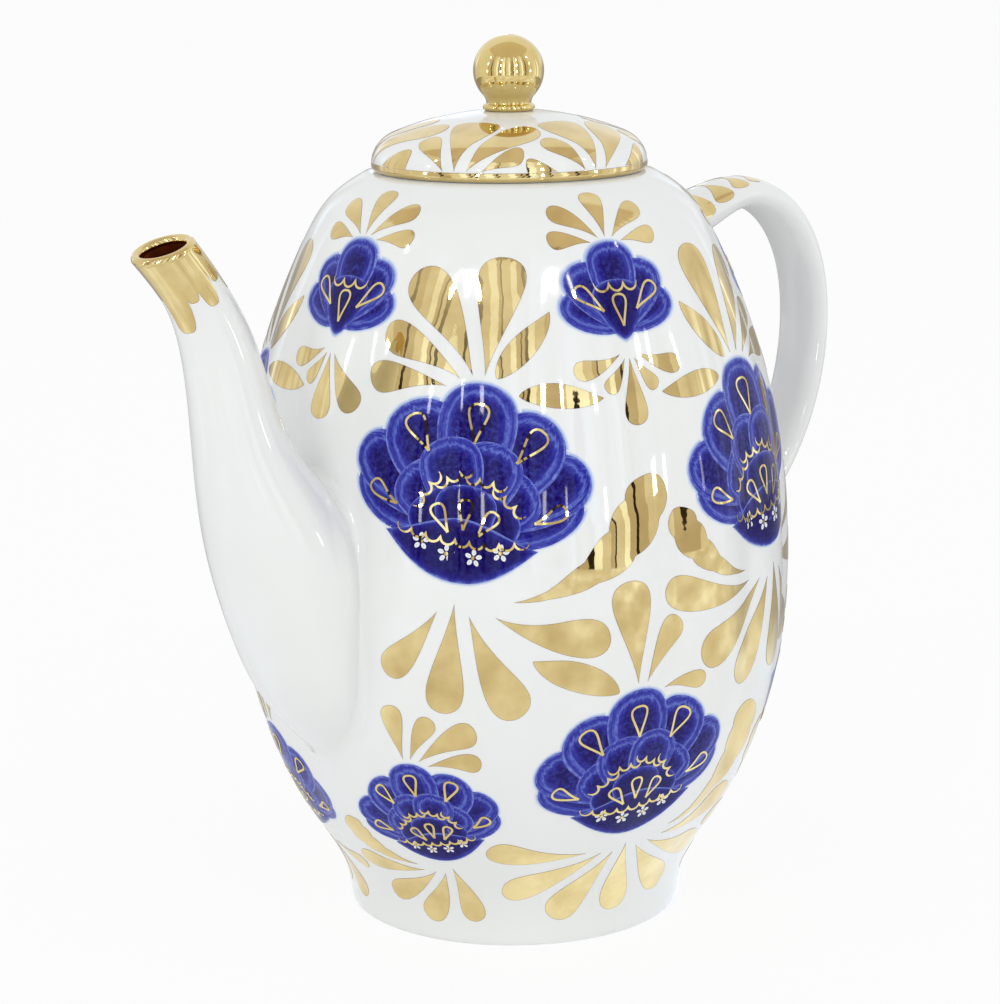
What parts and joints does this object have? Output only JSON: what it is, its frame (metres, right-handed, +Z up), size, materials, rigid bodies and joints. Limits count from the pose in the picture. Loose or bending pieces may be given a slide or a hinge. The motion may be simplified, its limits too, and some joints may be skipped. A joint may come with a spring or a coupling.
{
  "type": "porcelain teapot",
  "caption": "Tall lobed white porcelain teapot with a swan-neck spout, loop handle and a loose domed lid, decorated in cobalt blue and gold.",
  "frame": {"origin": "centre of the foot ring's rest plane, on the axis of the belly", "axes": "+Z up; the spout points along -X and the handle along +X; Y is across the pot"},
  "size_m": [0.2165, 0.1278, 0.2005],
  "materials": {
    "glazed_porcelain": "gloss",
    "gilded_porcelain": "gloss"
  },
  "bodies": {
    "pot": {"pot_body": "glazed_porcelain", "spout": "glazed_porcelain", "handle": "glazed_porcelain"},
    "lid": {"lid": "glazed_porcelain", "lid_knob": "gilded_porcelain"}
  },
  "joints": [
    {"name": "lid_lift", "type": "slide", "parent": "pot", "child": "lid", "axis": [0, 0, 1], "range_m": [0, 0.08]}
  ]
}
